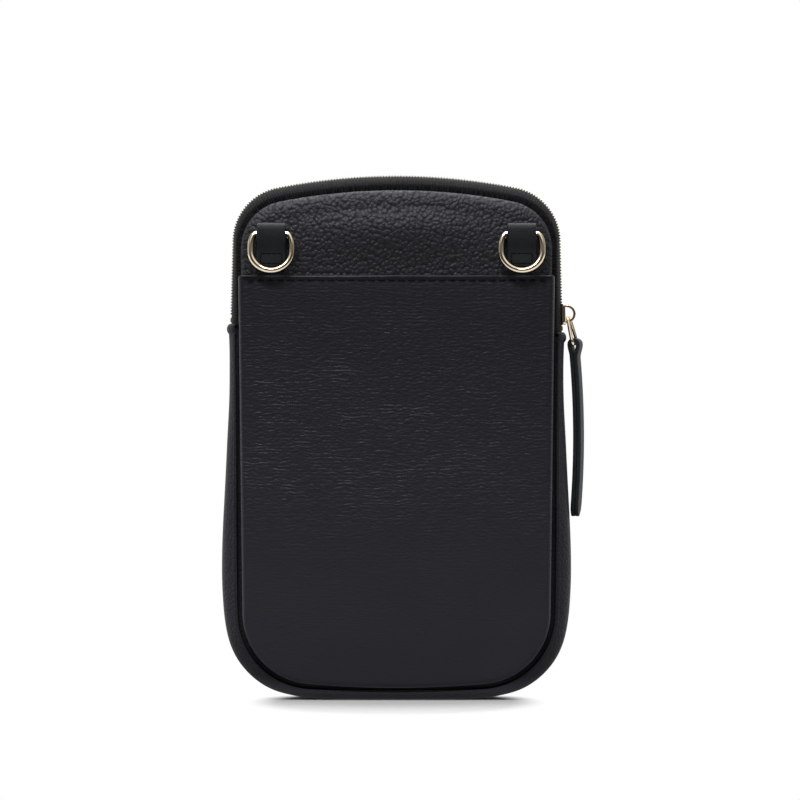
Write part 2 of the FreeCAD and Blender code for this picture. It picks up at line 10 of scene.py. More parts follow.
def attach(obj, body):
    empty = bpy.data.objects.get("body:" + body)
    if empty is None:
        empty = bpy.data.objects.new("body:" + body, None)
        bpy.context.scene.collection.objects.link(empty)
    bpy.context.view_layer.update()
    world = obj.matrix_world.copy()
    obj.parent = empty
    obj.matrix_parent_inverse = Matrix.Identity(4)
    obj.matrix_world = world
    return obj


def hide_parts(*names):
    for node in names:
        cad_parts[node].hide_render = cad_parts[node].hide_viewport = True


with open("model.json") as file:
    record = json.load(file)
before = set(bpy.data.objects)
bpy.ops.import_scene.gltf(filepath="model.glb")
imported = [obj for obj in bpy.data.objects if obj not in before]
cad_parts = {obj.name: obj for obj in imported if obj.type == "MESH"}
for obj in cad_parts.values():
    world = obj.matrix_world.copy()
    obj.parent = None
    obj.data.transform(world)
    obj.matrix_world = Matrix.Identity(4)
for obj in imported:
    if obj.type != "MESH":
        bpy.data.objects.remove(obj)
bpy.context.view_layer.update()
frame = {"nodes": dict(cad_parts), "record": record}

NODES = frame["nodes"]
MM = 0.001

# Sizes of the pouch, in metres, close to those of the solids
BODY_HEIGHT = 180.0 * MM
DEPTH_BASE = 31.0 * MM
DEPTH_TOP = 17.0 * MM
LOW_LEVEL = 30.0 * MM
HIGH_LEVEL = BODY_HEIGHT - 25.0 * MM
PANEL_PROUD = 3.0 * MM
POCKET_WALL = 1.4 * MM
POCKET_SLACK = 0.3 * MM
POCKET_TOP = BODY_HEIGHT - 34.4 * MM
GUSSET_EDGE = 0.3 * MM
TAPE_INSET = 0.6 * MM
TAPE_THICKNESS = 0.6 * MM
TAPE_COLUMNS = 240
GUSSET_COLUMNS = 180
TOOTH_PITCH = 2.0 * MM
TOOTH_THICKNESS = 0.84 * MM
TOOTH_DEPTH = 1.8 * MM
TOOTH_TAIL = 2.1 * MM
TOOTH_REACH = 0.75 * MM
TOOTH_CREST = 0.6
TOOTH_EDGE = 0.12 * MM
NECK_REACH = 2.9 * MM
STOP_LENGTH = 1.7 * MM
STOP_GAP = 0.3 * MM
LEFT_ZIP_END = BODY_HEIGHT - 52.0 * MM
RIGHT_ZIP_END = BODY_HEIGHT - 54.9 * MM
END_TAB_LAP = 1.1 * MM
END_TAB_HEIGHT = 4.0 * MM
END_TAB_WALL = 0.8 * MM
END_TAB_PROUD = 0.9 * MM
END_TAB_FULLNESS = 1.2
END_TAB_REACH = 0.99
BULGE_POWER = 4

RING_SPACING = 85.8 * MM
RING_WIRE = 2.1 * MM
RING_HEIGHT = BODY_HEIGHT - 20.6 * MM
RING_TAB_WIDTH = 10.0 * MM
RING_TAB_LAYER = 1.3 * MM
RING_TAB_DROP = 11.1 * MM
RING_TAB_JOIN = 6.4 * MM
RING_TAB_GAP = 0.25 * MM
RING_TAB_RISE = 1.3 * MM
RING_TAB_ROUNDING = 0.35 * MM
TAB_STITCH_LENGTH = 1.7 * MM
TAB_STITCH_HALF = 3.6 * MM
TAB_THREAD = 0.36 * MM

SLIDER_GRID = 0.1 * MM
SLIDER_TUMBLING = 12
LINK_WIRE = 1.2 * MM
PULLER_YAW = math.radians(12.0)
STRAP_WIDTH = 6.8 * MM
STRAP_LAYER = 1.4 * MM
STRAP_DROP = 59.2 * MM
STRAP_BOW = 1.2 * MM
STRAP_SIDE_GAP = 1.2 * MM
STRAP_GAP = 0.2 * MM
STRAP_JOIN = 4.4 * MM
STRAP_TIP = 1.2 * MM
STRAP_ROUNDING = 0.3 * MM

# The photograph's frame: real width across the picture and the point at its middle
PICTURE_WIDTH = 275.6 * MM
PICTURE_MIDDLE = Vector((1.2 * MM, 0, 102.7 * MM))
CAMERA_DISTANCE = 2.4
SENSOR = 36.0

BACK, FRONT = -1, 1
LEFT, RIGHT = -1, 1
CURVE_STEPS = 400
EDGE_STEPS = 1200


class Outline:
    """Closed outline in the XZ plane: arched base and top, leaning sides and four round corners.

    Places along it run from 0 to 8: base arch, right low corner, right side, right high corner,
    top arch, left high corner, left side, left low corner."""

    def __init__(self, base, top, width_low, width_high, corner_low, corner_high, arch_low, arch_high):
        self.base = base
        self.top = top
        self.width_low = width_low
        self.width_high = width_high
        self.corner_low = corner_low
        self.corner_high = corner_high
        self.arch_low = arch_low
        self.arch_high = arch_high
        self.low = self.corner(corner_low, Vector((0, base + arch_low)), arch_low, -1)
        self.high = self.corner(corner_high, Vector((0, top - arch_high)), arch_high, 1)

    def sizes(self):
        return (self.base, self.top, self.width_low, self.width_high,
                self.corner_low, self.corner_high, self.arch_low, self.arch_high)

    def inset(self, d):
        base, top, low, high, *radii = self.sizes()
        return Outline(base + d, top - d, low - 2 * d, high - 2 * d, *[radius - d for radius in radii])

    def blend(self, other, share):
        return Outline(*[a + (b - a) * share for a, b in zip(self.sizes(), other.sizes())])

    def corner(self, radius, arch_centre, arch_radius, turn):
        """Corner arc on the right: its centre, and its ends on the side and on the arch."""
        low = Vector((self.width_low / 2, LOW_LEVEL))
        up = (Vector((self.width_high / 2, HIGH_LEVEL)) - low).normalized()
        out = Vector((up.y, -up.x))
        on_line = low - out * radius
        away = on_line - arch_centre
        reach = arch_radius - radius
        half = away.dot(up)
        along = -half + turn * math.sqrt(half * half - away.dot(away) + reach * reach)
        centre = on_line + up * along
        return centre, centre + out * radius, arch_centre + (centre - arch_centre).normalized() * arch_radius

    def at(self, place):
        """Point (x, z) at a place along the outline."""
        place %= 8
        if place > 4.5:
            p = self.at(9 - place)
            return Vector((-p.x, p.y))
        part, share = int(place), place % 1
        if part == 0 and share < 0.5:
            p = self.at(1 - share)
            return Vector((-p.x, p.y))
        if part == 0:
            centre = Vector((0, self.base + self.arch_low))
            return swing(centre, Vector((0, self.base)), self.low[2], 2 * share - 1)
        if part == 1:
            return swing(self.low[0], self.low[2], self.low[1], share)
        if part == 2:
            return self.low[1].lerp(self.high[1], share)
        if part == 3:
            return swing(self.high[0], self.high[1], self.high[2], share)
        centre = Vector((0, self.top - self.arch_high))
        return swing(centre, self.high[2], Vector((0, self.top)), 2 * share)


def swing(centre, start, end, share):
    """Point part of the way round an arc."""
    a, b = start - centre, end - centre
    first, last = math.atan2(a.y, a.x), math.atan2(b.y, b.x)
    turn = (last - first + math.pi) % (2 * math.pi) - math.pi
    angle = first + turn * share
    return centre + Vector((math.cos(angle), math.sin(angle))) * a.length


SEAM = Outline(base=3.3 * MM, top=BODY_HEIGHT - 3.4 * MM, width_low=107.2 * MM, width_high=110.4 * MM,
               corner_low=25.3 * MM, corner_high=18.0 * MM, arch_low=330 * MM, arch_high=210 * MM)
MIDDLE = Outline(base=-0.3 * MM, top=BODY_HEIGHT, width_low=119.6 * MM, width_high=113.2 * MM,
                 corner_low=30.0 * MM, corner_high=19.0 * MM, arch_low=1500 * MM, arch_high=209 * MM)


def leaned(x, out, z, station):
    """Point of a plane that leans between the back seam (-1) and the front seam (1)."""
    angle = math.atan2(station * (DEPTH_BASE - DEPTH_TOP) / 2, BODY_HEIGHT)
    y, side = station * DEPTH_BASE / 2, 1 if station > 0 else -1
    c, s = math.cos(angle), math.sin(angle)
    return Vector((x, y + side * out * c - z * s, side * out * s + z * c))


def half_depth(z):
    return DEPTH_BASE / 2 - (DEPTH_BASE - DEPTH_TOP) / 2 * z / BODY_HEIGHT


def outline_at(station):
    """Outline of the rounded body at a station from back to front."""
    return SEAM.blend(MIDDLE, 1 - abs(station) ** BULGE_POWER)


def on_body(place, station, inset=0.0):
    """Point of the rounded body at a place along its outline and a station from back to front."""
    p = outline_at(station).inset(inset).at(place)
    point = leaned(p.x, 0, p.y, station)
    point.z = max(point.z, inset)
    return point


def along(outline, first, last):
    """Function from a share (0 to 1) of a stretch's length to the place along the outline."""
    steps = [first + (last - first) * n / CURVE_STEPS for n in range(CURVE_STEPS + 1)]
    points = [outline.at(s) for s in steps]
    run = [0.0]
    for a, b in zip(points, points[1:]):
        run.append(run[-1] + (b - a).length)

    def place(share):
        goal = run[-1] * share
        n = min(max(bisect.bisect_left(run, goal) - 1, 0), CURVE_STEPS - 1)
        return steps[n] + (steps[n + 1] - steps[n]) * (goal - run[n]) / (run[n + 1] - run[n])

    return place


def even_places(outline, first, last, count):
    """Places that divide a stretch of an outline into equal lengths."""
    place = along(outline, first, last)
    return [place(n / count) for n in range(count + 1)]


def stretch_length(outline, first, last):
    points = [outline.at(s) for s in even_places(outline, first, last, CURVE_STEPS)]
    return sum((b - a).length for a, b in zip(points, points[1:]))


def edge_distance(outline, first, last):
    """Function from a point (x, z) to its distance from a stretch of an outline."""
    places = even_places(outline, first, last, EDGE_STEPS)
    tree = kdtree.KDTree(len(places))
    for n, s in enumerate(places):
        p = outline.at(s)
        tree.insert((p.x, p.y, 0), n)
    tree.balance()
    return lambda x, z: tree.find((x, z, 0))[2]


def place_at_height(outline, z, side):
    """Place along the left or right side at a height."""
    low, high = outline.low[1], outline.high[1]
    place = 2 + (z - low.y) / (high.y - low.y)
    return place if side == RIGHT else 9 - place


# Finishes

def linear(code):
    """Linear colour of an sRGB hex code."""
    parts = [int(code[n:n + 2], 16) / 255 for n in (1, 3, 5)]
    return [c / 12.92 if c <= 0.04045 else ((c + 0.055) / 1.055) ** 2.4 for c in parts] + [1.0]


def add(tree, kind, links=(), **settings):
    """One shader node with its settings and its input links."""
    made = tree.nodes.new(kind)
    for key, value in settings.items():
        if key.startswith("in_"):
            made.inputs[key[3:].replace("_", " ")].default_value = value
        else:
            setattr(made, key, value)
    for socket, source in links:
        tree.links.new(source, made.inputs[socket])
    return made


def new_material(name):
    material = bpy.data.materials.new(name)
    material.use_nodes = True
    tree = material.node_tree
    tree.nodes.clear()
    shader = add(tree, "ShaderNodeBsdfPrincipled")
    add(tree, "ShaderNodeOutputMaterial", [("Surface", shader.outputs["BSDF"])])
    return material, tree, shader


def set_shader(shader, **values):
    for key, value in values.items():
        shader.inputs[key.replace("_", " ")].default_value = value


def on_piece(tree):
    """Places on a piece, in metres."""
    return add(tree, "ShaderNodeTexCoord").outputs["Object"]


def axes_of(tree, where):
    return add(tree, "ShaderNodeSeparateXYZ", [("Vector", where)]).outputs


def combine(tree, operation, first, second=None):
    """Result of one sum on a value, with another value or with a number."""
    made = add(tree, "ShaderNodeMath", [(0, first)], operation=operation)
    if isinstance(second, float):
        made.inputs[1].default_value = second
    elif second:
        tree.links.new(second, made.inputs[1])
    return made.outputs[0]


def between(tree, value, low, high, source=(0.0, 1.0), shape="LINEAR"):
    """A value carried over to another span."""
    return add(tree, "ShaderNodeMapRange", [("Value", value)], interpolation_type=shape,
               in_From_Min=source[0], in_From_Max=source[1], in_To_Min=low, in_To_Max=high).outputs["Result"]


def eased(tree, value, low, high, source):
    """A value carried over to another span, with soft ends."""
    return between(tree, value, low, high, source, "SMOOTHSTEP")


def mottle(tree, where, size, detail=2.0):
    """Soft patches of a size, from 0 to 1."""
    soft = add(tree, "ShaderNodeTexNoise", [("Vector", where)], in_Scale=1 / size, in_Detail=detail)
    return soft.outputs["Fac"]


def warped(tree, where, size, amount):
    """Coordinates pushed about by a soft noise, so that cells come out uneven."""
    soft = add(tree, "ShaderNodeTexNoise", [("Vector", where)], in_Scale=1 / size, in_Detail=1.0)
    middle = add(tree, "ShaderNodeVectorMath", [(0, soft.outputs["Color"])], operation="SUBTRACT")
    middle.inputs[1].default_value = (0.5, 0.5, 0.5)
    push = add(tree, "ShaderNodeVectorMath", [(0, middle.outputs["Vector"])], operation="SCALE")
    push.inputs["Scale"].default_value = amount
    moved = add(tree, "ShaderNodeVectorMath", [(0, where), (1, push.outputs["Vector"])], operation="ADD")
    return moved.outputs["Vector"]


def stretched(tree, where, sideways):
    """Coordinates in which a pattern comes out wider than it is high."""
    wide = add(tree, "ShaderNodeMapping", [("Vector", where)], in_Scale=(1 / sideways, 1 / sideways, 1.0))
    return wide.outputs["Vector"]


def face_on(tree, where):
    """Places on a panel's face as width and height, without depth."""
    axes = axes_of(tree, where)
    return add(tree, "ShaderNodeCombineXYZ", [("X", axes["X"]), ("Y", axes["Z"])]).outputs["Vector"]


def domes(tree, where, size, dimensions="3D"):
    """Rounded cells that meet in sharp furrows: 1 on top of a cell, 0 at the deepest corner."""
    cells = add(tree, "ShaderNodeTexVoronoi", [("Vector", where)], voronoi_dimensions=dimensions,
                in_Scale=1 / size).outputs["Distance"]
    return between(tree, combine(tree, "MULTIPLY", cells, cells), 1.0, 0.0, (0.0, 0.6))


def sharp_folds(tree, height, pitch):
    """Round ridges with sharp furrows between them, a pitch apart."""
    turn = combine(tree, "MULTIPLY", height, math.pi / pitch)
    return combine(tree, "ABSOLUTE", combine(tree, "SINE", turn))


def bump(tree, height, depth, under=None, strength=None):
    """Relief of a real depth, laid over the relief under it."""
    links = [("Height", height)]
    if under:
        links.append(("Normal", under))
    if strength:
        links.append(("Strength", strength))
    return add(tree, "ShaderNodeBump", links, in_Distance=depth).outputs["Normal"]


def tinted(tree, shader, factor, dark, light):
    """Base colour between a dark and a light tone."""
    tint = add(tree, "ShaderNodeMix", [("Factor", factor)], data_type="RGBA")
    tint.inputs["A"].default_value = linear(dark)
    tint.inputs["B"].default_value = linear(light)
    tree.links.new(tint.outputs["Result"], shader.inputs["Base Color"])


HIDE_SHEEN = linear("#ecebf6")


def pebbled_leather():
    """Full-grain cowhide, milled until it shrinks into small pebbles: domes catch the light between
    furrows, and the base colour is painted darker down in the furrows as painted shade."""
    material, tree, shader = new_material("pebbled_full_grain_leather")
    where = face_on(tree, on_piece(tree))
    uneven = stretched(tree, warped(tree, where, 3 * MM, 1.2 * MM), 2.1)
    pebbles = domes(tree, uneven, 0.65 * MM, "2D")
    relief = bump(tree, pebbles, 0.2 * MM)
    relief = bump(tree, mottle(tree, uneven, 0.55 * MM), 0.22 * MM, relief)
    # painted shade: the base colour goes darker down in the furrows between the pebbles
    tinted(tree, shader, pebbles, "#0b0a0d", "#19181d")
    tree.links.new(between(tree, pebbles, 0.6, 0.48), shader.inputs["Roughness"])
    tree.links.new(relief, shader.inputs["Normal"])
    set_shader(shader, Specular_IOR_Level=0.6, Specular_Tint=HIDE_SHEEN)
    return material


def creased_leather():
    """The same hide stretched flat: the pebbles open out and leave fine sideways creases in drifts. Its base
    colour is painted paler towards the base and darker towards the hem, as painted light thrown up by the
    white floor."""
    material, tree, shader = new_material("creased_full_grain_leather")
    where = on_piece(tree)
    uneven = warped(tree, stretched(tree, where, 2.2), 2.6 * MM, 2.6 * MM)
    creases = sharp_folds(tree, axes_of(tree, uneven)["Z"], 1.3 * MM)
    pores = domes(tree, stretched(tree, warped(tree, where, 3 * MM, 1.2 * MM), 2.6), 0.75 * MM)
    drifts = mottle(tree, stretched(tree, where, 1.6), 14 * MM)
    broken = eased(tree, mottle(tree, stretched(tree, where, 3.0), 2.2 * MM), 0.1, 1.0, (0.35, 0.65))
    patchy = eased(tree, drifts, 0.45, 1.0, (0.35, 0.65))
    level = axes_of(tree, where)["Z"]
    above_base = eased(tree, level, 0.25, 1.0, (40 * MM, 75 * MM))
    below_hem = eased(tree, level, 1.0, 0.6, (112 * MM, 142 * MM))
    zone = combine(tree, "MULTIPLY", above_base, below_hem)
    strength = combine(tree, "MULTIPLY", combine(tree, "MULTIPLY", broken, patchy), zone)
    relief = bump(tree, creases, 0.095 * MM, None, strength)
    relief = bump(tree, pores, 0.08 * MM, relief, zone)
    # painted light: base colour paler low down and darker near the hem, for light thrown up by the white
    # floor
    tinted(tree, shader, between(tree, level, 0.0, 1.0, (10 * MM, 140 * MM)), "#28272e", "#19181d")
    tree.links.new(between(tree, drifts, 0.4, 0.5), shader.inputs["Roughness"])
    tree.links.new(relief, shader.inputs["Normal"])
    set_shader(shader, Specular_IOR_Level=0.4, Specular_Tint=HIDE_SHEEN)
    return material


def gusset_leather():
    """Thinner cut of the hide, fine and even in grain, pulled smooth round the curves. Its base colour is
    painted paler along the base, as painted light thrown up by the white floor; the soft patches are its own
    tone."""
    material, tree, shader = new_material("fine_grain_gusset_leather")
    where = on_piece(tree)
    grain = domes(tree, warped(tree, where, 3 * MM, 0.8 * MM), 1.0 * MM)
    clouds = mottle(tree, where, 12 * MM, 3.0)
    # painted light: base colour paler within 9 mm of the base, for light thrown up by the white floor
    painted_floor_light = eased(tree, axes_of(tree, where)["Z"], 1.0, 0.0, (0.5 * MM, 9 * MM))
    tone = combine(tree, "ADD", painted_floor_light, between(tree, clouds, 0.08, 0.34))
    # the tone is the painted floor light near the base plus the soft patches of the leather's own tone
    tinted(tree, shader, tone, "#17161b", "#434249")
    tree.links.new(between(tree, clouds, 0.5, 0.6), shader.inputs["Roughness"])
    tree.links.new(bump(tree, grain, 0.15 * MM), shader.inputs["Normal"])
    set_shader(shader, Specular_IOR_Level=0.15, Specular_Tint=HIDE_SHEEN)
    return material


def trim_leather():
    """Thin split leather with a finished face: nearly smooth, with fine pores and a low sheen."""
    material, tree, shader = new_material("smooth_trim_leather")
    where = on_piece(tree)
    pores = domes(tree, warped(tree, where, 2 * MM, 0.5 * MM), 0.6 * MM)
    clouds = mottle(tree, where, 4 * MM, 3.0)
    tinted(tree, shader, clouds, "#1b1d20", "#23262a")
    tree.links.new(between(tree, clouds, 0.5, 0.62), shader.inputs["Roughness"])
    tree.links.new(bump(tree, pores, 0.04 * MM), shader.inputs["Normal"])
    set_shader(shader, Specular_IOR_Level=0.18)
    return material


def woven_tape():
    """Black polyester zip tape: low cross ribs over a fine herringbone, dull and uneven in tone."""
    material, tree, shader = new_material("woven_polyester_tape")
    set_shader(shader, Specular_IOR_Level=0.07, Roughness=0.6)
    where = add(tree, "ShaderNodeUVMap", uv_map="tape").outputs["UV"]
    axes = axes_of(tree, where)

    def wave(value, length, shift=None):
        turn = combine(tree, "MULTIPLY", value, 2 * math.pi / length)
        if shift:
            turn = combine(tree, "ADD", turn, shift)
        return between(tree, combine(tree, "SINE", turn), 0.0, 1.0, (-1.0, 1.0))

    ribs = wave(axes["X"], TOOTH_PITCH / 2)
    zigzag = wave(axes["Y"], 1.1 * MM)
    weave = wave(axes["X"], 0.5 * MM, combine(tree, "MULTIPLY", zigzag, math.pi))
    relief = bump(tree, ribs, 0.08 * MM)
    relief = bump(tree, weave, 0.08 * MM, relief)
    uneven = between(tree, mottle(tree, where, 0.5 * MM), 0.0, 1.0, (0.35, 0.65))
    # painted shade: the base colour is darker in the furrows between the ribs; the mottle is the tape's own
    # uneven tone
    tone = combine(tree, "MULTIPLY", between(tree, ribs, 0.5, 1.0), uneven)
    tinted(tree, shader, tone, "#050506", "#201e22")
    tree.links.new(relief, shader.inputs["Normal"])
    return material


def pale_gold(name, dull, tones):
    """Light gold plating on a zinc casting or a bent wire: a clean mirror with a faintly clouded tone."""
    material, tree, shader = new_material(name)
    set_shader(shader, Metallic=1.0)
    marks = mottle(tree, on_piece(tree), 1.5 * MM, 3.0)
    tree.links.new(between(tree, marks, dull * 0.7, dull * 1.3), shader.inputs["Roughness"])
    tinted(tree, shader, marks, *tones)
    return material


def sewing_thread():
    """Bonded black polyester thread: three twisted plies with a slight wax sheen."""
    material, tree, shader = new_material("bonded_polyester_thread")
    set_shader(shader, Specular_IOR_Level=0.15, Roughness=0.55)
    plies = add(tree, "ShaderNodeTexWave", [("Vector", on_piece(tree))], in_Scale=1 / (1.2 * MM),
                bands_direction="DIAGONAL").outputs["Fac"]
    # painted shade: the base colour is darker in the grooves between the plies
    tinted(tree, shader, plies, "#040405", "#0c0c0e")
    tree.links.new(bump(tree, plies, 0.06 * MM), shader.inputs["Normal"])
    return material


def plain_inside(name, dark, light, size):
    """Hidden inner layers: a mottled sheet with a fine tooth."""
    material, tree, shader = new_material(name)
    set_shader(shader, Roughness=0.85, Specular_IOR_Level=0.2)
    fibres = mottle(tree, on_piece(tree), size, 4.0)
    tinted(tree, shader, fibres, dark, light)
    tree.links.new(bump(tree, fibres, 0.1 * MM), shader.inputs["Normal"])
    return material


PEBBLED = pebbled_leather()
CREASED = creased_leather()
GUSSET = gusset_leather()
TRIM = trim_leather()
TAPE = woven_tape()
GOLD = pale_gold("polished_pale_gold_plating", 0.0, ("#ecd8b4", "#f3e5cc"))
# painted shade and painted dark reflection: teeth and stops get darker gold tones than the rings, for the
# shade of the tapes round them and the dark they mirror
TOOTH_GOLD = pale_gold("tumbled_gold_teeth_painted_shade", 0.3, ("#7d6a48", "#b9a172"))
THREAD = sewing_thread()
BOARD = plain_inside("pressed_fibre_board", "#4a4034", "#6a5d4c", 1.5 * MM)
LINING = plain_inside("black_twill_lining", "#101012", "#1c1c1f", 0.5 * MM)


# Making pieces

def finish_piece(name, bm, material, body, replaces=(), smooth=True):
    """Turn a bmesh into a piece of the object that rides on a body."""
    bmesh.ops.recalc_face_normals(bm, faces=bm.faces)
    heart = Vector((0, 0, BODY_HEIGHT / 2))
    outward = sum(f.normal.dot(f.calc_center_median() - heart) * f.calc_area() for f in bm.faces)
    if outward < 0:
        bmesh.ops.reverse_faces(bm, faces=bm.faces)
    for face in bm.faces:
        face.smooth = smooth
    mesh = bpy.data.meshes.new(name)
    bm.to_mesh(mesh)
    bm.free()
    piece = bpy.data.objects.new(name, mesh)
    bpy.context.scene.collection.objects.link(piece)
    mesh.materials.append(material)
    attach(piece, body)
    if replaces:
        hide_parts(*replaces)
    return piece


def thicken(piece, thickness, offset=-1.0):
    wall = piece.modifiers.new("leather", "SOLIDIFY")
    wall.thickness = thickness
    wall.offset = offset
    wall.use_even_offset = True


def soften(piece, levels):
    smooth = piece.modifiers.new("smooth", "SUBSURF")
    smooth.levels = levels
    smooth.render_levels = levels


def round_edges(piece, width):
    bevel = piece.modifiers.new("edges", "BEVEL")
    bevel.width = width
    bevel.segments = 3
    bevel.limit_method = "ANGLE"
    bevel.angle_limit = math.radians(40)


def unit_grid(columns, rows):
    """A grid over the unit square."""
    bm = bmesh.new()
    bmesh.ops.create_grid(bm, x_segments=columns, y_segments=rows, size=0.5)
    bmesh.ops.translate(bm, verts=bm.verts, vec=(0.5, 0.5, 0))
    return bm


def cross_fade(outline, columns, shares):
    """Grid over an outline, its four sides meeting at the middles of the corners, rows at shares of
    the sides' length, and each edge vertex marked with its place along the outline."""
    rows = len(shares) - 1
    bm = unit_grid(columns, rows)
    mark = bm.verts.layers.float.new("place")
    base, top = along(outline, -0.5, 1.5), along(outline, 5.5, 3.5)
    left, right = along(outline, 7.5, 5.5), along(outline, 1.5, 3.5)
    a, b, c, d = (outline.at(s) for s in (-0.5, 1.5, 5.5, 3.5))
    for v in bm.verts:
        i, j = round(v.co.x * columns), round(v.co.y * rows)
        u, w = i / columns, shares[j]
        p = outline.at(base(u)) * (1 - w) + outline.at(top(u)) * w
        p += outline.at(left(w)) * (1 - u) + outline.at(right(w)) * u
        p -= a * (1 - u) * (1 - w) + b * u * (1 - w) + c * (1 - u) * w + d * u * w
        v.co = Vector((p.x, 0, p.y))
        if i in (0, columns):
            v[mark] = (left if i == 0 else right)(w) % 8
        elif j in (0, rows):
            v[mark] = (base if j == 0 else top)(u) % 8
    return bm, mark


def grow_rim(bm, mark, position):
    """Extrude the open rim once and put every new vertex where its place says."""
    rim = [e for e in bm.edges if e.is_boundary]
    grown = bmesh.ops.extrude_edge_only(bm, edges=rim)["geom"]
    for v in grown:
        if isinstance(v, bmesh.types.BMVert):
            v.co = position(v[mark])


def quarter_round(width, depth, steps):
    """(inset from the edge, drop from the face) round a quarter ellipse, face first."""
    turns = [math.pi / 2 * n / steps for n in range(1, steps + 1)]
    return [(width * (1 - math.sin(t)), depth * (1 - math.cos(t))) for t in turns]


def slow_waves(p, size, height):
    """Gentle unevenness of stretched leather."""
    return height * noise.noise(Vector((p.x / size, p.y / size, p.z / size)))


def fall(distance, width):
    """1 at an edge, easing to 0 at a width inside it."""
    t = min(max(distance / width, 0.0), 1.0)
    return (1 - t) ** 2


def hump(distance, width):
    """1 at a middle, falling away on both sides like a bell."""
    return math.exp(-(distance / width) ** 2)


def ease(share):
    """0 to 1 with soft ends."""
    return share * share * (3 - 2 * share)


def rim_ring(bm, mark, ring, out, side):
    """One more ring of a panel's rim, along an outline at a height over the seam's plane."""
    grow_rim(bm, mark, lambda s: leaned(ring.at(s).x, out, ring.at(s).y, side))


PANEL_COLUMNS, PANEL_ROWS = 60, 90
PANEL_FALL = 14 * MM
PANEL_WAVES = (30 * MM, 0.15 * MM)
WAVE_MARGIN = 5 * MM
BELLY_MARGIN = 8 * MM
SEAM_DEPTH = 1.2 * MM
SEAM_TURN = 3.0 * MM
TURN_DEPTH = 1.3 * MM


def panel_piece(name, side, outline, proud, edge, crown, node, belly=lambda x, z: 0.0):
    """A leather panel: face that falls a little towards its rounded edge, and a rim in the seam."""
    width, depth = edge
    inner = outline.inset(width)
    distance = edge_distance(inner, 0, 8)
    bm, mark = cross_fade(inner, PANEL_COLUMNS, [n / PANEL_ROWS for n in range(PANEL_ROWS + 1)])
    for v in bm.verts:
        x, z = v.co.x, v.co.z
        inside = distance(x, z)
        out = proud - crown * fall(inside, PANEL_FALL)
        out += slow_waves(v.co, *PANEL_WAVES) * (1 - fall(inside, WAVE_MARGIN))
        out += belly(x, z) * (1 - fall(inside, BELLY_MARGIN))
        v.co = leaned(x, out, z, side)
    for inset, drop in quarter_round(width, depth, 7):
        rim_ring(bm, mark, outline.inset(inset), proud - crown - drop, side)
    rim_ring(bm, mark, outline, -SEAM_DEPTH, side)
    rim_ring(bm, mark, outline.inset(SEAM_TURN), -TURN_DEPTH, side)
    soften(finish_piece(name, bm, PEBBLED, "pouch", [node]), 1)


# Body of the pouch

YOKE_BELLY = 1.3 * MM
YOKE_HALF = 28 * MM
PANEL_ROUNDING = 6.0 * MM
FRONT_INSET = 0.7 * MM
FRONT_FULLNESS = 1.2 * MM


def yoke_belly(x, z):
    """Fullness of the back panel between the ring tabs, above the pocket."""
    above = (z - POCKET_TOP) / (BODY_HEIGHT - POCKET_TOP)
    if above <= 0:
        return 0.0
    return YOKE_BELLY * math.sin(math.pi * min(above, 1.0)) ** 2 * hump(x, YOKE_HALF)


def back_panel():
    panel_piece("back_panel_leather", BACK, SEAM.inset(POCKET_WALL + POCKET_SLACK), PANEL_PROUD,
                (PANEL_ROUNDING, 2.4 * MM), 0.7 * MM, "back_panel", yoke_belly)


def front_panel():
    panel_piece("front_panel_leather", FRONT, SEAM.inset(FRONT_INSET), PANEL_PROUD + FRONT_FULLNESS,
                (PANEL_ROUNDING, 2.6 * MM), 1.0 * MM, "front_panel")


POCKET_PROUD = PANEL_PROUD + POCKET_SLACK + POCKET_WALL
POCKET_EDGE = 0.8 * MM
POCKET_RADIUS = 2.0 * MM
POCKET_CROWN = 0.7 * MM
POCKET_FALL = 16 * MM
POCKET_WAVES = (26 * MM, 0.22 * MM)
POCKET_WAVE_MARGIN = 6 * MM
POCKET_COLUMNS = 124
FACE_ROWS, HEM_ROWS = 76, 20
FACE_SHARE = 0.955
HEM_RADIUS = 0.8 * MM
HEM_CORNER = 0.9 * MM
HEM_ARCH = 9.0
HEM_DEPTH = 9.0 * MM
HEM_STITCH_DROP = 2.0 * MM
HEM_STITCH_PITCH = 3.45 * MM
HEM_STITCH_LENGTH = 2.6 * MM
HEM_STITCH_SINK = 0.32 * MM
HEM_THREAD = 0.62 * MM
FURROW_DEPTH = 0.26 * MM
FURROW_PULL = 0.16 * MM
FOLD_RISE = 0.6 * MM
LAYER_RUN_OUT = 5 * MM


def pocket_outline(side_inset, top_inset):
    """The seam outline cut nearly straight across at the pocket's top edge."""
    s = SEAM.inset(POCKET_EDGE + side_inset)
    return Outline(s.base, POCKET_TOP - top_inset, s.width_low, s.width_high, s.corner_low, HEM_CORNER,
                   s.arch_low, HEM_ARCH)


def hem_relief(x, z):
    """Furrow that the stitches pull into the hem: the folded edge stands above it, and one layer runs out
    below."""
    off = z - (POCKET_TOP - HEM_STITCH_DROP)
    pull = 0.5 + 0.5 * math.cos(2 * math.pi * x / HEM_STITCH_PITCH)
    depth = FURROW_DEPTH + FURROW_PULL * pull
    return -depth * (hump(off, FOLD_RISE) if off > 0 else math.exp(off / LAYER_RUN_OUT))


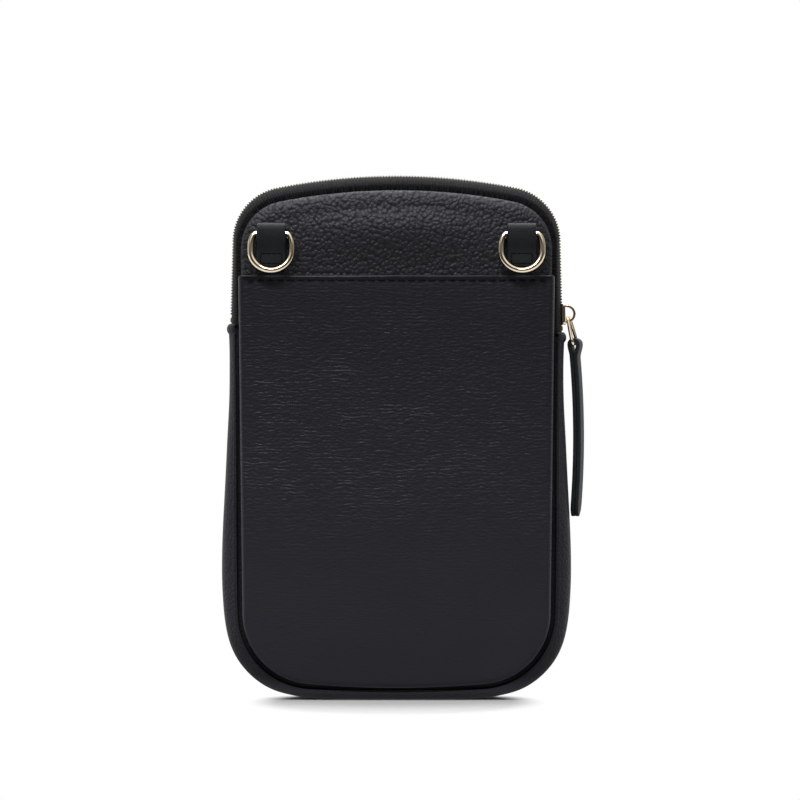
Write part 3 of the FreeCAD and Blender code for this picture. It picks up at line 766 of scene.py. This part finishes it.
def back_pocket():
    """Slip pocket: nearly flat face, seamed sides and base, and a turned hem along the open top."""
    inner = pocket_outline(POCKET_RADIUS, HEM_RADIUS)
    distance = edge_distance(inner, -2.5, 3.5)
    shares = [FACE_SHARE * n / FACE_ROWS for n in range(FACE_ROWS)]
    shares += [FACE_SHARE + (1 - FACE_SHARE) * n / HEM_ROWS for n in range(HEM_ROWS + 1)]
    bm, mark = cross_fade(inner, POCKET_COLUMNS, shares)
    for v in bm.verts:
        x, z = v.co.x, v.co.z
        inside = distance(x, z)
        out = POCKET_PROUD - POCKET_CROWN * fall(inside, POCKET_FALL) + hem_relief(x, z)
        out += slow_waves(v.co, *POCKET_WAVES) * (1 - fall(inside, POCKET_WAVE_MARGIN))
        v.co = leaned(x, out, z, BACK)
    sides = quarter_round(POCKET_RADIUS, POCKET_RADIUS, 5)
    hem = quarter_round(HEM_RADIUS, HEM_RADIUS, 5)
    rings = [(side_in, hem_in, POCKET_PROUD - POCKET_CROWN - side_drop, hem_drop)
             for (side_in, side_drop), (hem_in, hem_drop) in zip(sides, hem)]
    rings += [(0.0, 0.0, -0.2 * MM, 1.1 * MM), (0.0, HEM_RADIUS, -SEAM_DEPTH, POCKET_WALL),
              (0.0, HEM_DEPTH, -TURN_DEPTH, POCKET_WALL)]
    for side_in, hem_in, side_out, hem_drop in rings:
        pocket_ring(bm, mark, side_in, hem_in, side_out, POCKET_PROUD - hem_drop)
    soften(finish_piece("back_pocket_leather", bm, CREASED, "pouch", ["back_pocket"]), 1)


def pocket_ring(bm, mark, side_in, hem_in, side_out, hem_out):
    """One more ring of the pocket's rim, with its own height along the open hem."""
    ring = pocket_outline(side_in, hem_in)

    def position(s):
        p = ring.at(s)
        return leaned(p.x, hem_out if 3.5 <= s <= 5.5 else side_out, p.y, BACK)

    grow_rim(bm, mark, position)


def zip_ends(outline):
    """Places of the zip's left and right ends along an outline."""
    return place_at_height(outline, LEFT_ZIP_END, LEFT), place_at_height(outline, RIGHT_ZIP_END, RIGHT)


def below_zip(outline):
    """Places of the zip's ends, the left one counted so that the stretch runs round the base."""
    left, right = zip_ends(outline)
    return left - 8, right


def band_piece(name, ends, columns, profile, material, node, swell=lambda p: 0.0):
    """A strip along the body between two level ends: rows follow a profile of (station, inset) from
    back to front, and the middle swells out by an amount for each point."""
    rows = len(profile) - 1
    bm = unit_grid(columns, rows)
    uv = bm.loops.layers.uv.new("tape")
    length = stretch_length(MIDDLE, *ends(MIDDLE))
    for face in bm.faces:
        for loop in face.loops:
            station = profile[round(loop.vert.co.y * rows)][0]
            loop[uv].uv = (loop.vert.co.x * length, station * DEPTH_TOP / 2)
    places = [even_places(outline_at(station), *ends(outline_at(station)), columns) for station, _ in profile]
    for v in bm.verts:
        i, j = round(v.co.x * columns), round(v.co.y * rows)
        station, inset = profile[j]
        fullness = 1 - abs(station) ** BULGE_POWER
        p = outline_at(station).at(places[j][i])
        v.co = on_body(places[j][i], station, inset - swell(p) * fullness)
    return finish_piece(name, bm, material, "pouch", [node])


def gusset_swell(p):
    """Extra fullness of the stuffed lower sides, lift of the low corners, and thick ends under the zip's
    tabs."""
    side = min(1.0, max(0.0, (p.y - 8 * MM) / (20 * MM)))
    full = 0.8 * MM * hump(p.y - 52 * MM, 24 * MM)
    hollow = 0.9 * MM * hump(p.y - 24 * MM, 11 * MM)
    pinch = 0.35 * MM * hump(p.y - 104 * MM, 12 * MM)
    end = LEFT_ZIP_END if p.x < 0 else RIGHT_ZIP_END
    thick = 0.6 * MM * fall(max(0.0, end - p.y), 12 * MM)
    low_corner = 0.5 * MM * hump(abs(p.x) - 36 * MM, 6 * MM) if p.y < 20 * MM else 0.0
    return side * (full - hollow - pinch + thick) - low_corner


def gusset():
    """Gusset band round the sides and base, rolled in at both seams."""
    roll = [(-0.84, 6.0), (-0.84, 0.3), (-0.9, -0.1), (-0.95, -0.2), (-0.98, -0.32), (-0.98, -0.45),
            (-0.96, -0.5), (-0.92, -0.47), (-0.86, -0.38), (-0.76, -0.25), (-0.64, -0.12), (-0.5, -0.05),
            (-0.25, 0.0)]
    half = [(station, inset * MM) for station, inset in roll]
    profile = half + [(0.0, 0.0)] + [(-s, inset) for s, inset in reversed(half)]
    piece = band_piece("gusset_leather", below_zip, GUSSET_COLUMNS, profile, GUSSET,
                       "gusset_band", gusset_swell)
    thicken(piece, GUSSET_EDGE)
    soften(piece, 1)


def zip_tape(side, name, node):
    """One woven tape, with a corded edge along its teeth, running in under the panel's seam."""
    reach = half_depth(BODY_HEIGHT)
    cord = [(1.5, 1.0), (1.55, 0.6), (1.75, 0.45), (2.0, 0.42), (2.2, 0.48), (2.4, 0.62), (2.7, 0.6)]
    rows = [(across * MM / reach, inset * MM) for across, inset in cord]
    rows += [(s, TAPE_INSET) for s in (0.42, 0.52, 0.62, 0.72, 0.82, 0.89, 0.94)]
    rows += [(0.97, TAPE_INSET + 0.5 * MM), (0.97, 5.0 * MM)]
    profile = [(side * s, inset) for s, inset in rows]
    piece = band_piece(name, zip_ends, TAPE_COLUMNS, profile, TAPE, node)
    thicken(piece, TAPE_THICKNESS)
    soften(piece, 1)


def zip_place(place):
    """Frame on the zip's centre line: X outwards, Y to the front, Z back along it."""
    here, behind = MIDDLE.at(place), MIDDLE.at(place + 0.001)
    back = Vector((behind.x - here.x, 0, behind.y - here.y)).normalized()
    out = Vector((0, 1, 0)).cross(back)
    turn = Matrix((out, Vector((0, 1, 0)), back)).transposed().to_4x4()
    return Matrix.Translation((here.x, 0, here.y)) @ turn


def tooth_blank(side):
    """One stamped tooth: a block with a narrow crest and softened edges, its head past the centre line."""
    bm = bmesh.new()
    bmesh.ops.create_cube(bm, size=1.0)
    bmesh.ops.scale(bm, verts=bm.verts, vec=(TOOTH_DEPTH, TOOTH_TAIL + TOOTH_REACH, TOOTH_THICKNESS))
    bmesh.ops.translate(bm, verts=bm.verts, vec=(-TOOTH_DEPTH / 2, side * (TOOTH_TAIL - TOOTH_REACH) / 2, 0))
    crest = [v for v in bm.verts if v.co.x > -TOOTH_DEPTH / 2]
    bmesh.ops.scale(bm, verts=crest, vec=(1, 1, TOOTH_CREST))
    bmesh.ops.bevel(bm, geom=bm.edges, offset=TOOTH_EDGE, offset_type="OFFSET", segments=1, profile=0.5,
                    affect="EDGES", material=-1)
    mesh = bpy.data.meshes.new("tooth")
    bm.to_mesh(mesh)
    bm.free()
    return mesh


def zip_teeth(side, name, node):
    """One row of teeth from the bottom stop to the slider's neck, half a pitch from the other row."""
    ends = zip_ends(MIDDLE)
    length = stretch_length(MIDDLE, *ends)
    place = along(MIDDLE, *ends)
    stops = END_TAB_LAP + STOP_GAP + STOP_LENGTH + STOP_GAP
    run = stops + TOOTH_PITCH * (0.5 if side == BACK else 1.0)
    blank = tooth_blank(side)
    bm = bmesh.new()
    while run <= length - stops - NECK_REACH - TOOTH_PITCH / 2:
        known = len(bm.verts)
        bm.from_mesh(blank)
        bm.verts.ensure_lookup_table()
        bmesh.ops.transform(bm, matrix=zip_place(place(run / length)), verts=bm.verts[known:])
        run += TOOTH_PITCH
    bpy.data.meshes.remove(blank)
    finish_piece(name, bm, TOOTH_GOLD, "pouch", [node], smooth=False)


def end_tab(side, name, node):
    """Folded leather over the joint of the tapes and the gusset."""
    top = (LEFT_ZIP_END if side == LEFT else RIGHT_ZIP_END) + END_TAB_LAP
    bm = unit_grid(10, 24)
    for v in bm.verts:
        up, station = v.co.x, (2 * v.co.y - 1) * END_TAB_REACH
        place = place_at_height(outline_at(station), top - END_TAB_HEIGHT * (1 - up), side)
        v.co = on_body(place, station, -END_TAB_FULLNESS * END_TAB_PROUD * (1 - abs(2 * up - 1) ** 2.5))
    piece = finish_piece(name, bm, GUSSET, "pouch", [node])
    thicken(piece, END_TAB_WALL)
    soften(piece, 1)


def ribbon(path, width_at):
    """A strip of leather along a path of (point, across) pairs."""
    columns, rows = 4, len(path) - 1
    bm = unit_grid(columns, rows)
    for v in bm.verts:
        point, across = path[round(v.co.y * rows)]
        v.co = point + across * width_at(v.co.y) * (v.co.x - 0.5)
    return bm


def ring_tab(side, name, node):
    """Leather strip folded over the D-ring's straight bar and sewn down."""
    eye = RING_WIRE / 2 + RING_TAB_GAP
    middle = eye + RING_TAB_LAYER / 2
    bar_out = PANEL_PROUD + RING_TAB_LAYER + eye
    x = side * RING_SPACING / 2
    spots = [(-middle, -RING_TAB_DROP * (1 - n / 6)) for n in range(7)]
    for n in range(13):
        turn = math.pi * (1 - n / 12)
        spots.append((middle * math.cos(turn), RING_TAB_RISE + middle * math.sin(turn)))
    spots.append((middle, 0.0))
    flat = -middle + RING_TAB_LAYER
    for n in range(1, 9):
        share = n / 8
        spots.append((middle + (flat - middle) * ease(share), -RING_TAB_JOIN * share))
    for n in range(1, 5):
        spots.append((flat, -RING_TAB_JOIN - (RING_TAB_DROP - RING_TAB_JOIN) * n / 4))
    across = Vector((1, 0, 0))
    path = [(leaned(x, bar_out + out, RING_HEIGHT + up, BACK), across) for out, up in spots]
    bm = ribbon(path, lambda share: RING_TAB_WIDTH - 0.2 * MM)
    piece = finish_piece(name, bm, TRIM, "pouch", [node])
    thicken(piece, RING_TAB_LAYER - 0.1 * MM, 0.0)
    round_edges(piece, RING_TAB_ROUNDING)


def joint(name):
    return next(j for j in frame["record"]["behaviour"]["joints"] if j["name"] == name)


def puller_strap():
    """Leather strip folded round the link's lower bar, two layers sewn together, with a round end."""
    bar = Vector(joint("strap_swing")["pos_m"])
    turn = Matrix.Rotation(-PULLER_YAW, 3, "Z")
    across = turn @ Vector((0, 1, 0))
    middle = LINK_WIRE / 2 + STRAP_GAP + STRAP_LAYER / 2
    layer = STRAP_LAYER / 2
    length = STRAP_DROP - STRAP_JOIN
    beside = MIDDLE.at(place_at_height(MIDDLE, bar.z - STRAP_DROP, RIGHT)).x + STRAP_SIDE_GAP
    lean = (bar.x - beside) / math.cos(PULLER_YAW) - STRAP_LAYER

    def bowed(share):
        return STRAP_BOW * 4 * share * (1 - share) - lean * share

    spots = []
    count = 26
    for n in range(count):
        share = 1 - n / count
        spots.append((bowed(share) - layer, -STRAP_JOIN - length * share))
    for n in range(7):
        share = n / 6
        spots.append((-layer + (layer - middle) * ease(share), -STRAP_JOIN * (1 - share)))
    for n in range(1, 12):
        angle = math.pi * (1 - n / 12)
        spots.append((middle * math.cos(angle), middle * math.sin(angle)))
    spots += [(-x if z >= -STRAP_JOIN else 2 * bowed((-z - STRAP_JOIN) / length) - x, z)
              for x, z in reversed(spots[:count + 7])]
    path = [(bar + turn @ Vector((x, 0, z)), across) for x, z in spots]

    def width(share):
        from_end = min(share, 1 - share) * (2 * STRAP_DROP)
        radius = STRAP_WIDTH / 2
        if from_end >= radius:
            return STRAP_WIDTH
        return max(STRAP_TIP, 2 * math.sqrt(max(0.0, radius ** 2 - (radius - from_end) ** 2)))

    bm = ribbon(path, width)
    piece = finish_piece("puller_strap_leather", bm, TRIM, "strap", ["puller_strap"])
    thicken(piece, STRAP_LAYER - 0.08 * MM, 0.0)
    round_edges(piece, STRAP_ROUNDING)


def stitches(name, lines, out, thread):
    """Stitches on the back, each a bowed bead of thread that lies on the leather between two ends (x, z)."""
    bm = bmesh.new()
    for ends in lines:
        a, b = (leaned(x, out, z, BACK) for x, z in ends)
        turn = (b - a).to_track_quat("X", "Z").to_matrix().to_4x4()
        size = Matrix.Diagonal(((b - a).length / thread * 0.5, 0.5, 0.42, 1))
        place = Matrix.Translation((a + b) / 2 + Vector((0, -thread * 0.1, 0))) @ turn @ size
        bmesh.ops.create_uvsphere(bm, u_segments=10, v_segments=8, radius=thread, matrix=place)
    finish_piece(name, bm, THREAD, "pouch")


def pocket_stitches():
    """Row of stitches along the pocket's hem."""
    half = SEAM.width_high / 2 - 2.4 * MM
    count = int(2 * half / HEM_STITCH_PITCH)
    z = POCKET_TOP - HEM_STITCH_DROP
    lines = []
    for n in range(count):
        x = (n - (count - 1) / 2) * HEM_STITCH_PITCH
        lines.append(((x - HEM_STITCH_LENGTH / 2, z), (x + HEM_STITCH_LENGTH / 2, z)))
    stitches("pocket_hem_stitches", lines, POCKET_PROUD - HEM_STITCH_SINK, HEM_THREAD)


def tab_stitches(side, name):
    """Small box of stitches that holds a ring tab to the panel."""
    x, half, length = side * RING_SPACING / 2, TAB_STITCH_HALF, TAB_STITCH_LENGTH
    low = RING_HEIGHT - RING_TAB_DROP + 1.1 * MM
    high = RING_HEIGHT - RING_TAB_JOIN - 0.2 * MM
    lines = []
    for z in (low, high):
        for n in range(4):
            middle = x + (n - 1.5) * 2 * half / 4
            lines.append(((middle - length / 2, z), (middle + length / 2, z)))
    for edge in (x - half, x + half):
        for n in range(2):
            middle = low + (high - low) * (n + 0.5) / 2
            lines.append(((edge, middle - length / 2), (edge, middle + length / 2)))
    stitches(name, lines, PANEL_PROUD + 2 * RING_TAB_LAYER, TAB_THREAD)


def zip_slider():
    """The slider's die casting: its solid with the soft edges that tumbling leaves under the plating."""
    bm = bmesh.new()
    bm.from_mesh(NODES["zip_slider"].data)
    bmesh.ops.remove_doubles(bm, verts=bm.verts, dist=0.002 * MM)
    blank = bpy.data.objects.new("slider_blank", bpy.data.meshes.new("slider_blank"))
    bm.to_mesh(blank.data)
    bm.free()
    bpy.context.scene.collection.objects.link(blank)
    skin = blank.modifiers.new("casting", "REMESH")
    skin.mode = "VOXEL"
    skin.voxel_size = SLIDER_GRID
    cast = bpy.data.meshes.new_from_object(blank.evaluated_get(bpy.context.evaluated_depsgraph_get()))
    bpy.data.objects.remove(blank)
    bm = bmesh.new()
    bm.from_mesh(cast)
    bpy.data.meshes.remove(cast)
    for n in range(SLIDER_TUMBLING):
        bmesh.ops.smooth_vert(bm, verts=bm.verts, factor=0.5,
                              use_axis_x=True, use_axis_y=True, use_axis_z=True)
    finish_piece("zip_slider_cast", bm, GOLD, "slider", ["zip_slider"])


def dress_nodes():
    """Finishes for the solids that stay as they are."""
    finishes = {
        "puller_link": GOLD, "left_d_ring": GOLD, "right_d_ring": GOLD,
        "zip_bottom_stop": TOOTH_GOLD, "zip_top_stops": TOOTH_GOLD,
        "back_board": BOARD, "front_board": BOARD,
        "back_lining": LINING, "front_lining": LINING, "gusset_lining": LINING,
    }
    for name, material in finishes.items():
        mesh = NODES[name].data
        mesh.materials.clear()
        mesh.materials.append(material)


back_panel()
front_panel()
back_pocket()
gusset()
zip_tape(BACK, "back_zip_tape_weave", "back_zip_tape")
zip_tape(FRONT, "front_zip_tape_weave", "front_zip_tape")
zip_teeth(BACK, "back_zip_teeth_stamped", "back_zip_teeth")
zip_teeth(FRONT, "front_zip_teeth_stamped", "front_zip_teeth")
end_tab(LEFT, "left_zip_end_leather", "left_zip_end_tab")
end_tab(RIGHT, "right_zip_end_leather", "right_zip_end_tab")
ring_tab(LEFT, "left_ring_tab_leather", "left_ring_tab")
ring_tab(RIGHT, "right_ring_tab_leather", "right_ring_tab")
zip_slider()
puller_strap()
pocket_stitches()
tab_stitches(LEFT, "left_ring_tab_stitches")
tab_stitches(RIGHT, "right_ring_tab_stitches")
dress_nodes()


# Studio

FILL = 0.45
FLOOR_HALF = 6.0
SHADOW_MIDDLE = (0, -35 * MM, 0)
SHADOW_OVAL = (1 / 1.2, 1 / 0.6, 1.0)
SHADOW_FADE = (46 * MM, 62 * MM)
UNLIT_ROOM = 0.06
UNLIT_FLOOR = 0.12
DARK_CARD = 0.18


def ray_is(tree, kind):
    """1 for rays of one kind, 0 for all others."""
    return add(tree, "ShaderNodeLightPath").outputs["Is %s Ray" % kind]


def mirrored_ray(tree):
    """1 for rays that a surface mirrors or lets through, 0 for the others."""
    return combine(tree, "MAXIMUM", ray_is(tree, "Glossy"), ray_is(tree, "Transmission"))


def by_finish(tree, dull, polished):
    """Level that a dull hide mirrors, or the one that polished metal shows."""
    sharp = ray_is(tree, "Singular")
    return add(tree, "ShaderNodeMix", [("Factor", sharp), ("A", dull), ("B", polished)]).outputs["Result"]


def white_to_camera(tree, mirrored):
    """Strength of 1 for the camera, and of the given level where a surface mirrors it."""
    return combine(tree, "MAXIMUM", mirrored, ray_is(tree, "Camera"))


def floor():
    """Plain white floor: it keeps the soft shadow round the pouch and runs out into the white behind."""
    bm = bmesh.new()
    bmesh.ops.create_grid(bm, x_segments=1, y_segments=1, size=FLOOR_HALF)
    mesh = bpy.data.meshes.new("studio_floor")
    bm.to_mesh(mesh)
    bm.free()
    plane = bpy.data.objects.new("studio_floor", mesh)
    bpy.context.scene.collection.objects.link(plane)
    material, tree, shader = new_material("white_studio_floor")
    set_shader(shader, Roughness=0.9, Specular_IOR_Level=0.0, Base_Color=linear("#dadada"))
    where = on_piece(tree)
    oval = add(tree, "ShaderNodeMapping", [("Vector", where)], vector_type="TEXTURE",
               in_Location=SHADOW_MIDDLE, in_Scale=SHADOW_OVAL).outputs["Vector"]
    reach = add(tree, "ShaderNodeVectorMath", [(0, oval)], operation="LENGTH").outputs["Value"]
    far = eased(tree, reach, 0.0, 1.0, SHADOW_FADE)
    seen = combine(tree, "MULTIPLY", far, ray_is(tree, "Camera"))
    share = combine(tree, "MAXIMUM", seen, mirrored_ray(tree))
    depth = axes_of(tree, where)["Y"]
    # painted reflection: in mirrors the floor shows a glow of its own, white behind the pouch and dimmed to
    # UNLIT_FLOOR in front, not the light the lamps put on it
    dull = eased(tree, depth, UNLIT_FLOOR, 1.0, (-0.1, 0.3))
    polished = eased(tree, depth, UNLIT_FLOOR, 1.0, (-0.45, -0.15))
    strength = white_to_camera(tree, by_finish(tree, dull, polished))
    white = add(tree, "ShaderNodeEmission", [("Strength", strength)]).outputs["Emission"]
    mixed = add(tree, "ShaderNodeMixShader", [("Fac", share), (1, shader.outputs["BSDF"]), (2, white)])
    out = next(n for n in tree.nodes if n.type == "OUTPUT_MATERIAL")
    tree.links.new(mixed.outputs["Shader"], out.inputs["Surface"])
    mesh.materials.append(material)


def white_world():
    """White studio with a white ceiling. What surfaces mirror is an unlit room on the photographer's side,
    and for polished metal also a dark card at each side."""
    world = bpy.data.worlds.new("white_studio")
    world.use_nodes = True
    tree = world.node_tree
    tree.nodes.clear()
    axes = axes_of(tree, add(tree, "ShaderNodeTexCoord").outputs["Generated"])
    behind = eased(tree, axes["Y"], UNLIT_ROOM, 1.0, (-0.35, 0.25))
    above = eased(tree, axes["Z"], UNLIT_ROOM, 1.0, (0.35, 0.95))
    dull = combine(tree, "MAXIMUM", behind, above)
    beside = eased(tree, axes["Y"], UNLIT_ROOM, 1.0, (-0.75, -0.4))
    over = eased(tree, combine(tree, "ABSOLUTE", axes["Z"]), UNLIT_ROOM, 1.0, (0.45, 0.65))
    cards = eased(tree, combine(tree, "ABSOLUTE", axes["X"]), 1.0, DARK_CARD, (0.5, 0.85))
    polished = combine(tree, "MULTIPLY", combine(tree, "MAXIMUM", beside, over), cards)
    level = white_to_camera(tree, by_finish(tree, dull, polished))
    shown = combine(tree, "MAXIMUM", ray_is(tree, "Camera"), mirrored_ray(tree))
    strength = add(tree, "ShaderNodeMix", [("Factor", shown), ("B", level)], in_A=FILL).outputs["Result"]
    back = add(tree, "ShaderNodeBackground", [("Strength", strength)], in_Color=(1, 1, 1, 1))
    add(tree, "ShaderNodeOutputWorld", [("Surface", back.outputs["Background"])])
    bpy.context.scene.world = world


def lamp(name, place, aim, size, watts):
    light = bpy.data.lights.new(name, "AREA")
    light.shape = "RECTANGLE"
    light.size, light.size_y = size
    light.energy = watts
    lit = bpy.data.objects.new(name, light)
    lit.location = place
    lit.rotation_mode = "QUATERNION"
    lit.rotation_quaternion = (Vector(aim) - Vector(place)).to_track_quat("-Z", "Y")
    bpy.context.scene.collection.objects.link(lit)


def camera():
    view = bpy.data.cameras.new("photo_view")
    view.sensor_width = SENSOR
    view.lens = SENSOR * CAMERA_DISTANCE / PICTURE_WIDTH
    eye = bpy.data.objects.new("photo_view", view)
    eye.location = PICTURE_MIDDLE - Vector((0, CAMERA_DISTANCE, 0))
    eye.rotation_euler = (math.radians(90), 0, 0)
    bpy.context.scene.collection.objects.link(eye)
    bpy.context.scene.camera = eye


floor()
white_world()
lamp("top_softbox", place=(0, 0.35, 0.95), aim=(0, 0, 0.1), size=(0.8, 0.4), watts=8.0)
lamp("front_softbox", place=(-0.2, -0.7, 1.0), aim=(0, 0, 0.12), size=(0.7, 0.2), watts=6.5)
lamp("left_softbox", place=(-0.95, 0.1, 0.3), aim=(0, 0, 0.09), size=(0.3, 0.7), watts=0.6)
lamp("right_softbox", place=(0.95, 0.1, 0.3), aim=(0, 0, 0.09), size=(0.3, 0.7), watts=0.2)
camera()
bpy.context.scene.view_settings.view_transform = "Standard"
